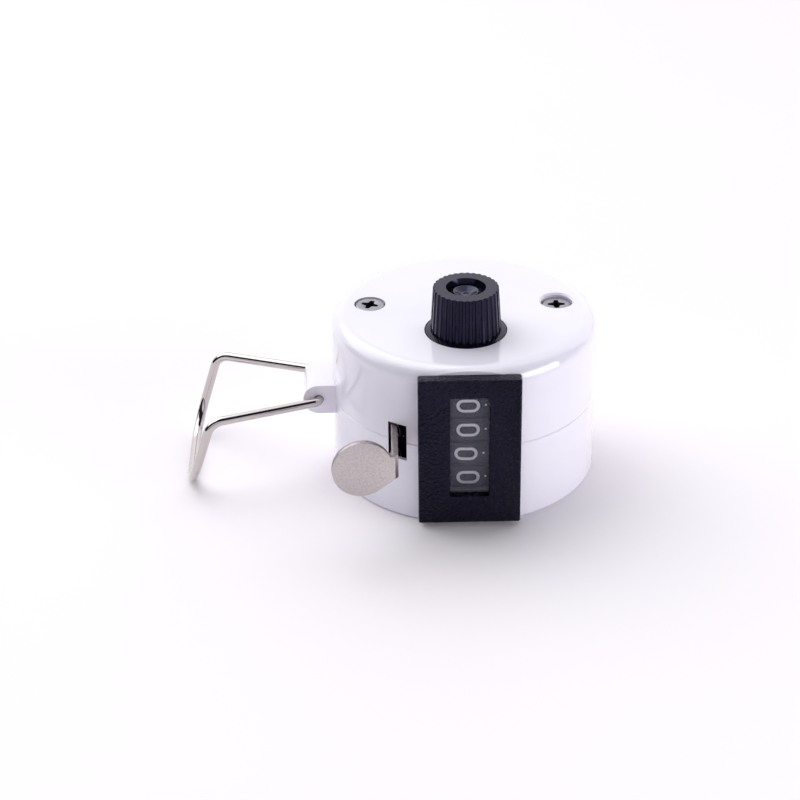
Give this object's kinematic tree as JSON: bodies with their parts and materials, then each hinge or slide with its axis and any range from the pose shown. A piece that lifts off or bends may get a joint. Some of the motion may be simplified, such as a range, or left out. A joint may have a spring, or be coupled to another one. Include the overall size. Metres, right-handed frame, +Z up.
{
  "type": "hand tally counter",
  "caption": "Hand tally counter: white two-shell drum, number wheels behind a black bezel, sprung thumb lever, swinging wire bail, reset knob.",
  "frame": {"origin": "on the drum's axis at the base, which stands on the table", "axes": "+Z up the drum's axis, -Y out of the number window, -X toward the wire bail"},
  "size_m": [0.0689, 0.0517, 0.0358],
  "materials": {
    "white_plastic": "glossy white ABS",
    "black_bezel": "fine matte black",
    "clear_window": "clear window",
    "screw_steel": "turned steel",
    "knob_black": "satin black",
    "lever_nickel": "blasted nickel",
    "wire_nickel": "polished nickel wire",
    "wheel_black": "black moulded wheel",
    "inner_steel": "plain steel",
    "inner_nylon": "natural nylon",
    "brass": "plain brass",
    "numeral_white": "printed numeral white"
  },
  "bodies": {
    "housing": {"lower_shell": "white_plastic", "upper_shell": "white_plastic", "bezel_plate": "black_bezel", "window_lens": "clear_window", "left_screw": "screw_steel", "right_screw": "screw_steel", "transfer_frame": "inner_steel", "thrust_washer": "brass", "lever_pin": "inner_steel", "check_spring": "inner_steel", "return_spring": "inner_steel"},
    "reset": {"reset_knob": "knob_black", "knob_screw": "knob_black", "reset_shaft": "inner_steel"},
    "units": {"units_wheel": "wheel_black", "units_key": "inner_steel", "ratchet_wheel": "brass"},
    "tens": {"tens_wheel": "wheel_black", "tens_key": "inner_steel"},
    "hundreds": {"hundreds_wheel": "wheel_black", "hundreds_key": "inner_steel"},
    "thousands": {"thousands_wheel": "wheel_black", "thousands_key": "inner_steel"},
    "pinion_tens": {"tens_pinion": "inner_nylon"},
    "pinion_hundreds": {"hundreds_pinion": "inner_nylon"},
    "pinion_thousands": {"thousands_pinion": "inner_nylon"},
    "lever": {"thumb_lever": "lever_nickel", "pawl_pin": "inner_steel", "pawl_spring": "inner_steel"},
    "pawl": {"drive_pawl": "inner_steel"},
    "bail": {"wire_bail": "wire_nickel"}
  },
  "joints": [
    {"name": "lever_press", "type": "hinge", "parent": "housing", "child": "lever", "pos_m": [0.006, -0.0176, 0.0245], "axis": [0, 0, -1], "range_deg": [0, 9], "stiffness_Nm_per_rad": 0.5, "springref_deg": -5.73, "deforming": ["return_spring"]},
    {"name": "pawl_swing", "type": "hinge", "parent": "lever", "child": "pawl", "pos_m": [-0.0089, -0.014, 0.0233], "axis": [0, 0, -1], "range_deg": [-9, 0], "deforming": ["pawl_spring"]},
    {"name": "units_turn", "type": "hinge", "parent": "housing", "child": "units", "pos_m": [0, -0.0073, 0.02055], "axis": [0, 0, -1], "range_deg": [0, 36], "deforming": ["check_spring"]},
    {"name": "tens_turn", "type": "hinge", "parent": "housing", "child": "tens", "pos_m": [0, -0.0073, 0.01612], "axis": [0, 0, -1], "range_deg": [0, 324]},
    {"name": "tens_pinion_turn", "type": "hinge", "parent": "housing", "child": "pinion_tens", "pos_m": [0, -0.00058, 0.01833], "axis": [0, 0, -1], "range_deg": [0, 1080]},
    {"name": "hundreds_turn", "type": "hinge", "parent": "housing", "child": "hundreds", "pos_m": [0, -0.0073, 0.01168], "axis": [0, 0, -1], "range_deg": [0, 324]},
    {"name": "hundreds_pinion_turn", "type": "hinge", "parent": "housing", "child": "pinion_hundreds", "pos_m": [0, -0.00058, 0.0139], "axis": [0, 0, -1], "range_deg": [0, 1080]},
    {"name": "thousands_turn", "type": "hinge", "parent": "housing", "child": "thousands", "pos_m": [0, -0.0073, 0.00726], "axis": [0, 0, -1], "range_deg": [0, 324]},
    {"name": "thousands_pinion_turn", "type": "hinge", "parent": "housing", "child": "pinion_thousands", "pos_m": [0, -0.00058, 0.00947], "axis": [0, 0, -1], "range_deg": [0, 1080]},
    {"name": "reset_turn", "type": "hinge", "parent": "housing", "child": "reset", "pos_m": [0, -0.0073, 0.03], "axis": [0, 0, -1], "continuous": true},
    {"name": "bail_swing", "type": "hinge", "parent": "housing", "child": "bail", "pos_m": [-0.02435, 0, 0.01405], "axis": [0, 1, 0], "range_deg": [-100, 105]}
  ],
  "couplings": [
    {"joint": "units_turn", "follows": "lever_press", "ratio": 4},
    {"joint": "pawl_swing", "follows": "lever_press", "ratio": -1},
    {"joint": "tens_pinion_turn", "follows": "tens_turn", "ratio": 3.3333},
    {"joint": "hundreds_pinion_turn", "follows": "hundreds_turn", "ratio": 3.3333},
    {"joint": "thousands_pinion_turn", "follows": "thousands_turn", "ratio": 3.3333}
  ]
}
